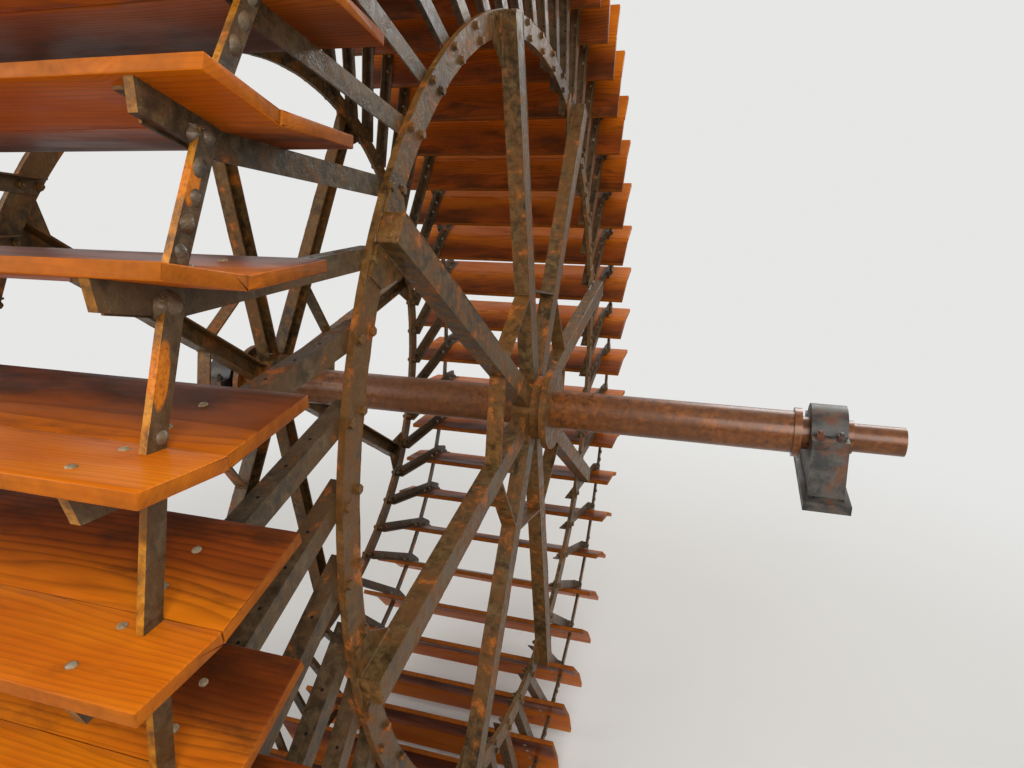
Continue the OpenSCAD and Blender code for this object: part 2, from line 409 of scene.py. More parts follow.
class Bench:
    """Lays and joins the shader nodes of one finish."""

    def __init__(self, name: str) -> None:
        """Starts a material with a bare node tree.

        Args:
            name: The material's name.
        """
        self.material = bpy.data.materials.new(name)
        self.material.use_nodes = True
        self.tree = self.material.node_tree
        self.tree.nodes.clear()

    def node(self, kind: str, inputs: dict[Any, Any] | None = None, **settings: Any) -> bpy.types.Node:
        """Lays a node.

        Args:
            kind: The node's type name without its ShaderNode prefix.
            inputs: Values or sockets, by the input's name or number.
            settings: Properties of the node.

        Returns:
            The node.
        """
        made = self.tree.nodes.new("ShaderNode" + kind)
        for key, value in settings.items():
            setattr(made, key, value)
        for key, value in (inputs or {}).items():
            if isinstance(value, bpy.types.NodeSocket):
                self.tree.links.new(value, made.inputs[key])
            else:
                made.inputs[key].default_value = value
        return made

    def noise(
        self, vector: Any, scale: float, detail: float = 4.0, rough: float = 0.55, bend: float = 0.0
    ) -> Any:
        """Soft noise in cycles a metre."""
        inputs = {"Vector": vector, "Scale": scale, "Detail": detail, "Roughness": rough, "Distortion": bend}
        return self.node("TexNoise", inputs).outputs["Fac"]

    def sums(self, operation: str, *values: Any) -> Any:
        """One step of arithmetic."""
        return self.node("Math", dict(enumerate(values)), operation=operation).outputs[0]

    def plus(self, first: Any, second: Any) -> Any:
        """Sum of two values."""
        return self.sums("ADD", first, second)

    def times(self, first: Any, second: Any) -> Any:
        """Product of two values."""
        return self.sums("MULTIPLY", first, second)

    def ease(self, value: Any, low: float, high: float, to_low: float = 0.0, to_high: float = 1.0) -> Any:
        """Smooth step from one range to another."""
        inputs = {"Value": value, "From Min": low, "From Max": high, "To Min": to_low, "To Max": to_high}
        return self.node("MapRange", inputs, interpolation_type="SMOOTHSTEP").outputs[0]

    def mix(self, share: Any, first: Any, second: Any, blend: str = "MIX") -> Any:
        """Blend of two colours."""
        made = self.node("Mix", {0: share, 6: first, 7: second}, data_type="RGBA", blend_type=blend)
        return made.outputs[2]

    def ramp(self, value: Any, *stops: tuple[float, tuple[float, ...]]) -> Any:
        """Colours along a value.

        Args:
            value: Where on the ramp to look.
            stops: Place and colour of each stop.

        Returns:
            The colour's socket.
        """
        made = self.node("ValToRGB", {0: value})
        marks = made.color_ramp.elements
        for number, (place, colour) in enumerate(stops):
            mark = marks[number] if number < 2 else marks.new(place)
            mark.position = place
            mark.color = colour
        return made.outputs[0]

    def stretch(self, vector: Any, x: float, y: float, z: float) -> Any:
        """Vector times a scale on each axis."""
        return self.node("Mapping", {"Vector": vector, "Scale": (x, y, z)}).outputs[0]

    def bump(self, height: Any, strength: float, distance: float, under: Any = None) -> Any:
        """Bumps on top of others.

        Args:
            height: Height of the bumps, 0 to 1.
            strength: Share of the bumps that is used.
            distance: Metres that a height of 1 stands for.
            under: Normal of the bumps underneath.

        Returns:
            The normal's socket.
        """
        inputs = {"Height": height, "Strength": strength, "Distance": distance}
        if under is not None:
            inputs["Normal"] = under
        return self.node("Bump", inputs).outputs[0]

    def object_place(self) -> Any:
        """Place on the object, in metres."""
        return self.node("TexCoord").outputs["Object"]

    def outward(self, place: Any, height: float) -> Any:
        """How squarely a face looks away from a line along X.

        Args:
            place: Place on the object.
            height: Height of the line.

        Returns:
            1 where the face looks straight away from the line, 0 where it looks along or towards it.
        """
        arm = self.node("VectorMath", {0: place, 1: (0.0, 0.0, height)}, operation="SUBTRACT").outputs[0]
        arm = self.node("VectorMath", {0: arm, 1: (0.0, 1.0, 1.0)}, operation="MULTIPLY").outputs[0]
        arm = self.node("VectorMath", {0: arm}, operation="NORMALIZE").outputs[0]
        facing = self.node("TexCoord").outputs["Normal"]
        return self.node("VectorMath", {0: arm, 1: facing}, operation="DOT_PRODUCT").outputs["Value"]

    def close(self, inputs: dict[str, Any]) -> bpy.types.Material:
        """Joins the surface shader to the output.

        Args:
            inputs: Inputs of the surface shader.

        Returns:
            The material.
        """
        shader = self.node("BsdfPrincipled", inputs)
        self.node("OutputMaterial", {"Surface": shader.outputs[0]})
        return self.material


@dataclass(frozen=True)
class VarnishedBoard:
    """Wet varnished softwood with growth rings, knots, dirt and worn edges, with painted shade on each
    paddle's inner part and painted light on its outer part.
    """

    name: str = "varnished_softwood"
    ring: float = 0.0075
    knot_spacing: float = 0.42
    knot: float = 0.011

    def material(self) -> bpy.types.Material:
        """Builds the finish.

        The boards' own "grain" is metres along, across and through a board, with an offset for each
        board. "reach" runs from 0 at the inner edge of a paddle to 1 at its outer edge, "trim" is 1
        on sawn edges and ends, and "tint" differs from board to board.

        Returns:
            The material.
        """
        b = Bench(self.name)
        grain = b.node("Attribute", attribute_name="grain").outputs["Vector"]
        reach = b.node("Attribute", attribute_name="reach").outputs["Fac"]
        trim = b.node("Attribute", attribute_name="trim").outputs["Fac"]
        tint = b.node("Attribute", attribute_name="tint").outputs["Fac"]
        flat = b.stretch(grain, 1, 1, 0)
        cells = b.node("TexVoronoi", {"Vector": flat, "Scale": 1 / self.knot_spacing, "Randomness": 0.9})
        seen = b.sums("GREATER_THAN", b.node("SeparateColor", {0: cells.outputs["Color"]}).outputs[0], 0.35)
        far = b.times(cells.outputs["Distance"], self.knot_spacing)
        far = b.plus(far, b.times(b.noise(grain, 60, 2), 0.006))
        knot = b.times(b.ease(far, self.knot + 0.008, self.knot), seen)
        swell = b.times(b.ease(far, 0.085, 0.01), seen)
        parts = b.node("SeparateXYZ", {0: grain})
        slow = b.noise(b.stretch(grain, 0.55, 3.0, 3.0), 1.0, 3, 0.5)
        fine = b.noise(b.stretch(grain, 2.5, 26, 26), 1.0, 3)
        depth = b.plus(parts.outputs[2], 0.11)
        squares = b.plus(b.sums("POWER", b.times(parts.outputs[1], 0.62), 2), b.sums("POWER", depth, 2))
        radius = b.plus(b.sums("SQRT", squares), b.times(slow, 0.115))
        radius = b.plus(radius, b.times(fine, 0.0045))
        radius = b.plus(radius, b.times(swell, 0.020))
        rings = b.sums("FRACT", b.sums("DIVIDE", radius, self.ring))
        early, faded, full = (0, 0, 0, 1), (0.1, 0.1, 0.1, 1), (1, 1, 1, 1)
        late = b.ramp(rings, (0.0, early), (0.45, faded), (0.86, full), (1.0, early))
        streaks = b.noise(b.stretch(grain, 5, 260, 260), 1.0, 4, 0.65)
        cloud = b.noise(b.stretch(grain, 1.4, 6, 6), 1.0, 4, 0.6)
        # Painted shade and light: the inner part of each paddle is painted dark brown as shade from the
        # boards and bar above, and blends along reach into the orange of the outer part, painted lighter as
        # lit.
        outer = b.mix(b.ease(cloud, 0.35, 0.68), paint(184, 90, 10), paint(206, 114, 14))
        inner = b.mix(b.ease(cloud, 0.32, 0.66), paint(78, 34, 12), paint(132, 58, 13))
        colour = b.mix(b.ease(reach, 0.20, 0.62), inner, outer)
        colour = b.mix(b.times(tint, 0.25), colour, paint(124, 66, 20))
        faint = b.ease(reach, 0.25, 0.70, 0.60, 0.22)
        colour = b.mix(b.times(late, faint), colour, paint(72, 32, 10))
        colour = b.mix(b.ease(streaks, 0.45, 0.8, 0, 0.32), colour, paint(104, 54, 16))
        dirt = b.noise(b.stretch(grain, 3, 9, 9), 1.0, 6, 0.65)
        spread = b.ease(reach, 0.55, 0.0, 0, 0.16)
        soiled = b.ease(b.plus(dirt, spread), 0.56, 0.78, 0, 0.68)
        colour = b.mix(soiled, colour, paint(46, 28, 15))
        heart = b.mix(b.ease(far, 0.004, self.knot), paint(78, 34, 14), paint(40, 18, 9))
        colour = b.mix(knot, colour, heart)
        worn = b.mix(b.noise(grain, 45, 5), paint(88, 42, 12), paint(164, 90, 18))
        edge = b.times(b.ease(trim, 0.35, 0.85), b.ease(b.noise(grain, 9, 4), 0.25, 0.75, 0.45, 0.95))
        colour = b.mix(edge, colour, worn)
        wet = b.noise(b.stretch(grain, 2.2, 8, 8), 1.0, 5, 0.6)
        rough = b.ease(wet, 0.36, 0.66, 0.31, 0.55)
        rough = b.plus(rough, b.times(edge, 0.22))
        relief = b.plus(b.times(late, 0.5), b.times(streaks, 0.6))
        normal = b.bump(relief, 0.35, 0.0006)
        normal = b.bump(b.noise(b.stretch(grain, 8, 30, 30), 1.0, 4), 0.30, 0.0015, normal)
        normal = b.bump(b.ease(far, self.knot + 0.004, self.knot), 0.25, 0.0008, normal)
        inputs = {"Base Color": colour, "Roughness": rough, "Normal": normal}
        return b.close({**inputs, "Coat Weight": 0.03, "Coat Roughness": 0.14, "Specular IOR Level": 0.07})


@dataclass(frozen=True)
class WeatheredSteel:
    """Mild steel that has stood wet for years: grey-brown film, stains, rust blooms, pits and wet shine, with
    painted light: a warm glow on faces that look away from the shaft, and glints among pale chalky flecks.
    """

    name: str
    dark: Colour = paint(50, 36, 20)
    pale: Colour = paint(102, 78, 44)
    stain: Colour = paint(94, 60, 26)
    rust: Colour = paint(154, 82, 22)
    rusted: float = 0.49
    # Share of outward faces painted ochre: partly rust, partly painted light.
    spray: float = 0.20
    shine: float = 0.38
    patches: bool = False
    oval_radius: float = 2.338
    oval_half: float = 0.017

    def material(self) -> bpy.types.Material:
        """Builds the finish from noise on the object's place.

        Faces that look away from the shaft are painted ochre-gold over a share of their area set by the
        finish: partly ochre rust left by splashing water, partly painted light, the warm glow these faces
        catch off the varnished boards. The share is the face's direction times the direction from the shaft,
        both in the wheel's own frame. With "patches", an oval of orange rust lies on each bar between two
        paddles.

        Returns:
            The material.
        """
        b = Bench(self.name)
        place = b.object_place()
        broad = b.noise(place, 2.3, 5, 0.6, 0.4)
        blotch = b.noise(place, 9.0, 6, 0.62, 0.5)
        mid = b.noise(place, 31, 6, 0.62, 0.3)
        fine = b.noise(place, 120, 5, 0.6)
        grit = b.noise(place, 430, 3, 0.6)
        film = b.mix(b.ease(b.plus(b.times(mid, 0.6), b.times(broad, 0.4)), 0.38, 0.62), self.dark, self.pale)
        stained = b.ease(b.plus(b.times(broad, 0.5), b.times(blotch, 0.5)), 0.42, 0.60, 0.0, 0.75)
        colour = b.mix(stained, film, self.stain)
        outward = b.outward(place, AXIS_H)
        # Painted light, partly ochre rust: faces looking away from the shaft take the warm glow they catch
        # off the varnished boards.
        ochre_glow_faces = b.times(b.ease(outward, 0.55, 0.9), b.ease(mid, 0.30, 0.50, 0.55, 1.0))
        ochre = paint(112, 68, 16), paint(154, 96, 20), paint(190, 126, 34)
        gold = b.ramp(mid, *zip((0.34, 0.50, 0.66), ochre))
        colour = b.mix(b.times(ochre_glow_faces, self.spray), colour, gold)
        bloom = b.plus(b.times(blotch, 0.70), b.times(mid, 0.30))
        bloom = b.plus(bloom, b.times(outward, 0.03))
        edge = 1.0 - self.rusted
        rusty = b.ease(bloom, edge - 0.04, edge + 0.07)
        core = b.ease(bloom, edge + 0.04, edge + 0.14)
        scales = paint(112, 58, 22), self.rust, paint(196, 122, 48)
        flakes = b.mix(core, self.stain, b.ramp(fine, *zip((0.28, 0.50, 0.76), scales)))
        colour = b.mix(b.times(rusty, 0.85), colour, flakes)
        if self.patches:
            oval = self.oval(b, place, mid)
            orange = paint(138, 74, 18), paint(190, 106, 18), paint(214, 134, 30)
            colour = b.mix(oval, colour, b.ramp(fine, *zip((0.30, 0.50, 0.74), orange)))
        colour = b.mix(b.ease(fine, 0.40, 0.72, 0.0, 0.35), colour, b.mix(0.55, colour, paint(52, 42, 30)))
        runs = b.noise(b.stretch(place, 60, 60, 6), 1.0, 4, 0.6)
        colour = b.mix(b.ease(runs, 0.60, 0.80, 0, 0.35), colour, paint(46, 36, 26))
        # Pale flecks: partly a chalky deposit, partly painted glints of wet droplets; the flecks are also
        # made smoother.
        lime_and_glint_cells = b.node("TexVoronoi", {"Vector": place, "Scale": 150.0, "Randomness": 1.0}).outputs["Distance"]
        lime_and_glint_flecks = b.times(b.ease(lime_and_glint_cells, 0.20, 0.08), b.ease(mid, 0.50, 0.62))
        colour = b.mix(b.times(lime_and_glint_flecks, 0.40), colour, paint(178, 166, 142))
        metal = b.times(b.sums("SUBTRACT", 1.0, rusty), 0.08)
        rough = b.plus(b.ease(mid, 0.3, 0.7, self.shine - 0.08, self.shine + 0.16), b.times(rusty, 0.14))
        rough = b.sums("SUBTRACT", rough, b.times(lime_and_glint_flecks, 0.2))
        cells = {"Vector": place, "Scale": 46.0, "Smoothness": 0.7}
        scabs = b.node("TexVoronoi", cells, feature="SMOOTH_F1").outputs["Distance"]
        normal = b.bump(mid, 0.60, 0.003)
        normal = b.bump(b.times(scabs, b.ease(bloom, edge - 0.10, edge + 0.05)), 0.55, 0.004, normal)
        normal = b.bump(fine, 0.55, 0.0010, normal)
        normal = b.bump(grit, 0.45, 0.0004, normal)
        inputs = {"Base Color": colour, "Metallic": metal, "Roughness": rough, "Normal": normal}
        return b.close({**inputs, "Coat Weight": 0.06, "Coat Roughness": 0.12, "Specular IOR Level": 0.16})

    def oval(self, b: Bench, place: Any, noise: Any) -> Any:
        """Share of rust in an oval on each bar.

        With n the angle round the wheel in steps from paddle to paddle, the oval's middle lies at
        0.40 + 0.13 sin(2.4 (k - 2)) of the way up bar k, and its half length is 0.15 + 0.05 cos(1.7 (k - 2)).
        Across the bar it lies oval_half each way of a circle of oval_radius. It is there where
        cos(1.25 (k - 2) - 0.3) is above 0.1 to 0.5.

        Args:
            b: Where the nodes go.
            place: Place on the object.
            noise: Noise that frays the oval's edge.

        Returns:
            1 inside, 0 outside.
        """
        parts = b.node("SeparateXYZ", {0: place}).outputs
        out, up = b.times(parts[1], -1.0), b.sums("SUBTRACT", parts[2], AXIS_H)
        steps = b.times(b.sums("ARCTAN2", up, out), PADDLES / (2 * np.pi))
        steps = b.sums("SUBTRACT", steps, FIRST_PADDLE * PADDLES / 360)
        bar = b.sums("SUBTRACT", b.sums("FLOOR", steps), 2.0)
        middle = b.sums("MULTIPLY_ADD", b.sums("SINE", b.times(bar, 2.4)), 0.13, 0.40)
        length = b.sums("MULTIPLY_ADD", b.sums("COSINE", b.times(bar, 1.7)), 0.05, 0.15)
        along = b.sums("DIVIDE", b.sums("SUBTRACT", b.sums("FRACT", steps), middle), length)
        radius = b.sums("SQRT", b.plus(b.sums("POWER", out, 2.0), b.sums("POWER", up, 2.0)))
        over = b.sums("DIVIDE", b.sums("SUBTRACT", radius, self.oval_radius), self.oval_half)
        far = b.plus(b.sums("POWER", along, 2.0), b.sums("POWER", over, 2.0))
        there = b.sums("COSINE", b.sums("MULTIPLY_ADD", bar, 1.25, -0.3))
        inside = b.ease(b.plus(far, b.times(noise, 1.1)), 1.75, 1.25)
        return b.times(inside, b.ease(there, 0.1, 0.5))


@dataclass(frozen=True)
class RustyShaft:
    """Round bar with a close satin coat of orange-brown rust and a wet shine, with lathe-fine rings."""

    name: str = "rust_brown_shaft"

    def material(self) -> bpy.types.Material:
        """Builds the finish from noise that is drawn out round the shaft.

        Returns:
            The material.
        """
        b = Bench(self.name)
        place = b.object_place()
        broad = b.noise(b.stretch(place, 3.0, 5, 5), 1.0, 5, 0.6, 0.6)
        bands = b.noise(b.stretch(place, 70, 3, 3), 1.0, 4, 0.6)
        mid = b.noise(place, 34, 6, 0.62, 0.5)
        fine = b.noise(place, 210, 4, 0.6)
        browns = paint(76, 42, 17), paint(108, 60, 20), paint(138, 80, 28)
        colour = b.ramp(mid, *zip((0.32, 0.50, 0.70), browns))
        colour = b.mix(b.ease(broad, 0.44, 0.62, 0, 0.60), colour, paint(80, 46, 20))
        colour = b.mix(b.ease(bands, 0.55, 0.75, 0, 0.22), colour, paint(66, 40, 20))
        colour = b.mix(b.ease(fine, 0.60, 0.78, 0, 0.30), colour, paint(190, 124, 52))
        rough = b.ease(b.plus(b.times(mid, 0.5), b.times(broad, 0.5)), 0.38, 0.62, 0.26, 0.42)
        normal = b.bump(mid, 0.25, 0.0012)
        normal = b.bump(bands, 0.20, 0.0006, normal)
        normal = b.bump(fine, 0.45, 0.0004, normal)
        inputs = {"Base Color": colour, "Metallic": 0.12, "Roughness": rough, "Normal": normal}
        return b.close({**inputs, "Coat Weight": 0.18, "Coat Roughness": 0.16, "Specular IOR Level": 0.35})


@dataclass(frozen=True)
class CastIron:
    """Sand-cast bearing iron, dark with grease, with rust in its hollows."""

    name: str = "greasy_cast_iron"

    def material(self) -> bpy.types.Material:
        """Builds the finish.

        Returns:
            The material.
        """
        b = Bench(self.name)
        place = b.object_place()
        mid = b.noise(place, 14, 6, 0.62, 0.3)
        sand = b.noise(place, 520, 3, 0.7)
        pits = b.noise(place, 130, 4, 0.6)
        colour = b.mix(b.ease(mid, 0.36, 0.66), paint(42, 40, 38), paint(86, 80, 72))
        rusty = b.ease(b.noise(place, 7, 6, 0.65, 0.6), 0.52, 0.66)
        colour = b.mix(b.times(rusty, 0.75), colour, b.mix(pits, paint(74, 38, 20), paint(138, 76, 34)))
        rough = b.plus(b.ease(mid, 0.3, 0.7, 0.38, 0.62), b.times(rusty, 0.15))
        normal = b.bump(sand, 0.55, 0.0006)
        normal = b.bump(pits, 0.35, 0.0014, normal)
        return b.close({"Base Color": colour, "Metallic": 0.35, "Roughness": rough, "Normal": normal})


@dataclass(frozen=True)
class PaintedHoleShade:
    """Painted shade for the inside of a drilled hole: nearly black, with a trace of rust."""

    name: str = "painted_hole_shade"

    def material(self) -> bpy.types.Material:
        """Builds the finish.

        Returns:
            The material.
        """
        b = Bench(self.name)
        colour = b.mix(b.noise(b.object_place(), 300, 3), paint(12, 9, 7), paint(34, 22, 14))
        return b.close({"Base Color": colour, "Roughness": 0.9, "Specular IOR Level": 0.2})


@dataclass(frozen=True)
class StageFinish:
    """Plain pale floor that runs out into the background's own grey away from the wheel."""

    name: str = "pale_floor"
    near: float = 3.2
    far: float = 8.0
    seen: Colour = (0.80, 0.80, 0.79, 1.0)

    def material(self) -> bpy.types.Material:
        """Builds the finish.

        Returns:
            The material.
        """
        b = Bench(self.name)
        place = b.object_place()
        mottle = b.noise(place, 0.6, 3)
        colour = b.mix(mottle, paint(206, 205, 202), paint(212, 211, 208))
        matt = b.node("BsdfDiffuse", {"Color": colour})
        flat = b.node("Emission", {"Color": self.seen, "Strength": 1.0})
        ends = {0: place, 1: (MID_X, 0.0, FLOOR_Z)}
        from_wheel = b.node("VectorMath", ends, operation="DISTANCE").outputs["Value"]
        eye = b.node("LightPath").outputs["Is Camera Ray"]
        share = b.times(b.ease(from_wheel, self.near, self.far), eye)
        blend = b.node("MixShader", {0: share, 1: matt.outputs[0], 2: flat.outputs[0]})
        b.node("OutputMaterial", {"Surface": blend.outputs[0]})
        return b.material


# Sub-assemblies


@dataclass
class Paddles:
    """Forty-eight paddles of two boards each, mitred at the bend, with the bolts that hold them."""

    finish: bpy.types.Material
    bolt_finish: bpy.types.Material
    count: int = PADDLES
    sectors: int = 8
    turn: float = FIRST_PADDLE
    elbow_r: float = 2.308
    inner_w: float = 0.250
    outer_w: float = 0.197
    thickness: float = 0.028
    inner_lean: float = 23.1
    outer_lean: float = 10.3
    overhang: float = 0.137
    arris: float = 0.0030
    mitre_arris: float = 0.0014
    wear_depth: float = 0.0008
    cup_depth: float = 0.0007
    end_slack: float = 0.004
    bolt_inwards: float = 0.041
    inner_bolts: tuple[float, ...] = (-0.160, -0.064)
    outer_bolts: tuple[float, ...] = (0.037, 0.140)
    shelf_t: float = 0.006
    rng: np.random.Generator = field(default_factory=lambda: np.random.default_rng(48))

    @property
    def pitch(self) -> float:
        """Angle from one paddle to the next."""
        return 360.0 / self.count

    @property
    def mitre(self) -> float:
        """How far the mitre runs out at the boards' underside."""
        return self.thickness * float(np.tan(np.radians((self.inner_lean - self.outer_lean) / 2)))

    def angles(self, sector: int | None = None) -> Array:
        """Angles of the paddles' bends.

        Args:
            sector: Sector from 1, or None for the whole wheel.

        Returns:
            The angles, in degrees.
        """
        each = self.count // self.sectors
        first, number = (0, self.count) if sector is None else ((sector - 1) * each, each)
        return self.turn + self.pitch * (first + np.arange(number))

    def frame(self, tone: Tone, angles: Array) -> tuple[Array, Array, Array]:
        """Bend, outward direction and top direction of boards.

        Args:
            tone: Inner or outer boards.
            angles: Angles of the bends.

        Returns:
            The bend's place at X = 0, the direction outwards along the board, and the one square to it.
        """
        lean = np.radians(self.inner_lean if tone is Tone.INNER else self.outer_lean)
        bend = on_wheel(self.elbow_r, 0.0, 0.0, angles)
        along = in_plane(np.cos(lean), -np.sin(lean), angles)
        top = in_plane(np.sin(lean), np.cos(lean), angles)
        return bend, along, top

    def row(self, tone: Tone, sector: int) -> bpy.types.Object:
        """Six boards of one sector.

        A board is its rounded section carried along X. The section shrinks over the last 4 mm of
        each end, and wear draws its edges in by wear_depth * (1 + the mean of three slow sines of x).

        Args:
            tone: Inner or outer boards.
            sector: Sector of the wheel, from 1.

        Returns:
            The piece.
        """
        rng = self.rng
        angles = self.angles(sector)
        number = len(angles)
        t = self.thickness
        if tone is Tone.INNER:
            corners = np.array([[0, 0], [-self.inner_w, 0], [-self.inner_w, -t], [self.mitre, -t]])
            radii = np.array([self.mitre_arris, self.arris, self.arris, self.mitre_arris])
            splits = np.array([12, 3, 12, 3])
        else:
            corners = np.array([[self.outer_w, 0], [0, 0], [-self.mitre, -t], [self.outer_w, -t]])
            radii = np.array([self.arris, self.mitre_arris, self.mitre_arris, self.arris])
            splits = np.array([10, 3, 10, 3])
        outline, normal = rounded_outline(corners, radii, 3, splits)
        start = MID_X - HALF_SPACING - self.overhang
        stop = MID_X + HALF_SPACING + self.overhang
        shorter = rng.uniform(0.0, self.end_slack, (number, 2))
        round_end = np.array([0.0, 0.0008, 0.0024, 0.004])
        middle = np.linspace(0.02, 0.98, 40)
        left = start + shorter[:, :1] + round_end[None]
        right = stop - shorter[:, 1:] - round_end[None, ::-1]
        between = (start + shorter[:, :1]) + (stop - start - shorter.sum(1)[:, None]) * middle[None]
        x = np.concatenate([left, between, right], 1)
        inset = np.zeros_like(x)
        inset[:, :4] = inset[:, -4:][:, ::-1] = np.array([0.0026, 0.0010, 0.0002, 0.0])
        edge = 1 - np.abs(normal[:, 1]) ** 3
        sines = np.zeros(x.shape + (len(outline),))
        for cycles in (1.3, 4.1, 11.0):
            phase = rng.uniform(0, 2 * np.pi, (number, 1, 1))
            phase = phase + np.cumsum(rng.normal(0, 0.35, len(outline)))[None, None]
            sines += np.sin(2 * np.pi * cycles * x[..., None] + phase) / 3
        wear = self.wear_depth * edge[None, None] * (1 + sines)
        waves = 1 + np.sin(5 * x + rng.uniform(0, 6, (number, 1)))
        cup = self.cup_depth * np.clip(normal[:, 1], 0, 1)[None, None] * waves[..., None]
        drawn = outline[None, None] - (inset[..., None] + wear + cup)[..., None] * normal[None, None]
        bend, along, top = self.frame(tone, angles)
        path = np.broadcast_to(bend[:, None], x.shape + (3,)).copy()
        path[..., 0] = x
        points, blocks = sweep(path, along[:, None], top[:, None], drawn)
        around = len(outline)
        shape = x.shape + (around,)
        offset = rng.uniform([-9, -0.22, -0.05], [9, 0.22, 0.05], (number, 3))
        grain = np.stack([np.broadcast_to(x[..., None], shape), drawn[..., 0], drawn[..., 1]], -1)
        grain = grain + offset[:, None, None]
        reach = (drawn[..., 0] + self.inner_w) / (self.inner_w + self.outer_w)
        trim = np.broadcast_to(edge[None, None], shape).copy()
        trim[:, 0] = trim[:, -1] = 1.0
        tint = np.broadcast_to(rng.uniform(0, 1, (number, 1, 1)), shape)
        shell = Shell()
        marks = {"reach": reach.ravel(), "trim": trim.ravel(), "tint": tint.ravel()}
        shell.add(points, blocks, grain=grain.reshape(-1, 3), **marks)
        name = f"{tone.value}_planks_{sector}"
        made = shell.piece(name, self.finish, 40)
        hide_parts(f"{tone.value}_boards_{sector}")
        return made

    def bolt_places(self, side: Side, depth: float) -> tuple[Array, Array]:
        """Where the board bolts of one side pass a depth under the boards' top.

        Args:
            side: Side of the wheel.
            depth: Depth under the top face.

        Returns:
            The points, and the top direction at each.
        """
        places, tops = [], []
        for tone, rows in ((Tone.INNER, self.inner_bolts), (Tone.OUTER, self.outer_bolts)):
            bend, along, top = self.frame(tone, self.angles())
            for reach in rows:
                place = bend + reach * along - depth * top
                place[:, 0] = side.x(self.bolt_inwards)
                places.append(place)
                tops.append(top)
        return np.concatenate(places), np.concatenate(tops)

    def bolts(self, side: Side) -> bpy.types.Object:
        """Domed coach-bolt heads on the boards, with washers, nuts and bolt ends under the arms.

        Args:
            side: Side of the wheel.

        Returns:
            The piece.
        """
        shell = Shell()
        place, top = self.bolt_places(side, 0.0)
        heights = -0.002, 0.0005, 0.0021, 0.0035, 0.0043, 0.0045
        radii = 0.0098, 0.0098, 0.0088, 0.0064, 0.0031, 0.0005
        dome = list(zip(heights, radii))
        shell.add(*turned_solids(place, top, dome, ring_outline(12)))
        place, top = self.bolt_places(side, self.thickness + self.shelf_t)
        shell.add(*turned_solids(place, -top, [(-0.0005, 0.0102), (0.0020, 0.0102)], ring_outline(12)))
        nut = [(0.0018, 0.0092), (0.0026, 0.0098), (0.0090, 0.0098), (0.0100, 0.0090)]
        shell.add(*turned_solids(place, -top, nut, ring_outline(6)))
        end = [(0.0095, 0.0050), (0.0150, 0.0050), (0.0160, 0.0040)]
        shell.add(*turned_solids(place, -top, end, ring_outline(8)))
        made = shell.piece(f"board_bolts_{side.word}", self.bolt_finish, 35)
        return made

    def build(self) -> list[bpy.types.Object]:
        """Makes all the boards and their bolts."""
        rows = [self.row(tone, sector) for tone in Tone for sector in range(1, self.sectors + 1)]
        return rows + [self.bolts(side) for side in Side]


